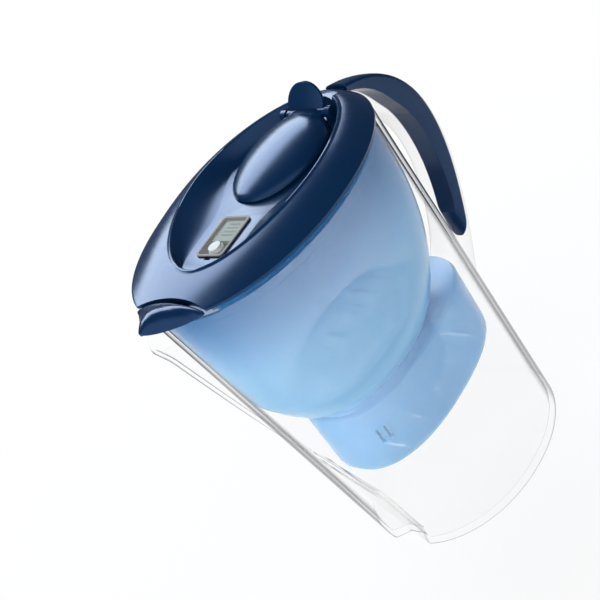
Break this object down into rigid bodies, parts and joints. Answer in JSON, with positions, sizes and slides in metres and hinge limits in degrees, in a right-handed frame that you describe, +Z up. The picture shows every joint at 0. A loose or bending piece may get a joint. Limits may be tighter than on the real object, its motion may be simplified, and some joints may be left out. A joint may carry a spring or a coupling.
{
  "type": "water filter jug",
  "caption": "Tall oval pouring jug with a lift-out funnel and filter cartridge, a lid with a refill flap and a spout flap, a change meter and a bow handle.",
  "frame": {"origin": "centre of the foot's underside, on the surface the jug stands on", "axes": "+Z up, +X from the beak to the handle, +Y to the left of someone facing +X"},
  "size_m": [0.2683, 0.1424, 0.2847],
  "materials": {
    "jug_plastic": "clear, glossy",
    "navy_plastic": "glossy",
    "blue_plastic": "translucent, glossy",
    "white_plastic": "satin",
    "seal_rubber": "matte",
    "screen_fabric": "fine mesh",
    "granules": "grainy",
    "dark_plastic": "satin",
    "window_plastic": "clear, glossy",
    "display_glass": "glossy",
    "display_ink": "matte",
    "button_plastic": "satin",
    "board": "satin",
    "connector_rubber": "matte",
    "cell_steel": "brushed",
    "contact_brass": "bright"
  },
  "bodies": {
    "jug": {"jug_body": "jug_plastic", "handle_grip": "navy_plastic"},
    "hopper": {"funnel": "blue_plastic"},
    "cartridge": {"cartridge_body": "white_plastic", "cartridge_cap": "white_plastic", "cartridge_seal": "seal_rubber", "cartridge_top_screen": "screen_fabric", "cartridge_base_screen": "screen_fabric", "filter_granules": "granules"},
    "lid": {"lid_shell": "navy_plastic"},
    "flap": {"refill_flap": "navy_plastic"},
    "spout_cover": {"spout_flap": "navy_plastic"},
    "meter": {"meter_case": "dark_plastic", "meter_window": "window_plastic", "meter_display": "display_glass", "display_bars": "display_ink", "circuit_board": "board", "display_connector": "connector_rubber", "coin_cell": "cell_steel", "battery_contact": "contact_brass", "meter_back": "dark_plastic"},
    "button": {"start_button": "button_plastic"}
  },
  "joints": [
    {"name": "funnel_lift", "type": "slide", "parent": "jug", "child": "hopper", "axis": [0, 0, 1], "range_m": [0, 0.2]},
    {"name": "cartridge_lift", "type": "slide", "parent": "hopper", "child": "cartridge", "axis": [0, 0, 1], "range_m": [0, 0.08]},
    {"name": "lid_lift", "type": "slide", "parent": "hopper", "child": "lid", "axis": [0, 0, 1], "range_m": [0, 0.06]},
    {"name": "refill_flap_hinge", "type": "hinge", "parent": "lid", "child": "flap", "pos_m": [0.046, 0, 0.2666], "axis": [0, 1, 0], "range_deg": [0, 35]},
    {"name": "spout_flap_hinge", "type": "hinge", "parent": "lid", "child": "spout_cover", "pos_m": [-0.104, 0, 0.2574], "axis": [0, 1, 0], "range_deg": [-4, 11]},
    {"name": "meter_lift", "type": "slide", "parent": "lid", "child": "meter", "axis": [0, 0, 1], "range_m": [0, 0.02]},
    {"name": "button_press", "type": "slide", "parent": "meter", "child": "button", "axis": [0, 0, -1], "range_m": [0, 0.0006], "stiffness_N_per_m": 300}
  ]
}
